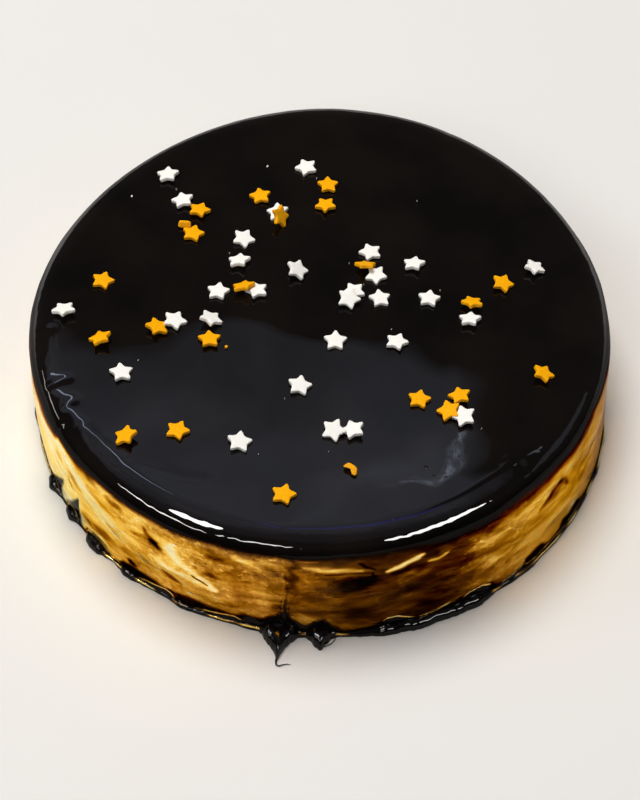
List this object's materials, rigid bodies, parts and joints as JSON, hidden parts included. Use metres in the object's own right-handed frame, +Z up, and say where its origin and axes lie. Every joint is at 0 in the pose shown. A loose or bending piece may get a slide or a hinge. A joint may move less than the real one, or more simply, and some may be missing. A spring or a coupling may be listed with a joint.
{
  "type": "chocolate cake",
  "caption": "Round chocolate cake under a dark mirror glaze, with a softly rounded top edge, bronze-gold sides and small blobs and runs of glaze at its foot.",
  "frame": {"origin": "centre of the round cake on its flat base", "axes": "+Z up; -Y is the side shown towards the camera, where the glaze ran out in two drips; +X to the right of that view"},
  "size_m": [0.207, 0.2172, 0.0485],
  "materials": {
    "chocolate_glaze": "very glossy near-black chocolate mirror glaze, bronze-gold lustre on the sides",
    "sprinkle_white": "matt white pressed sugar",
    "sprinkle_amber": "matt orange-yellow pressed sugar"
  },
  "bodies": {
    "root": {"cake": "chocolate_glaze"}
  },
  "joints": []
}
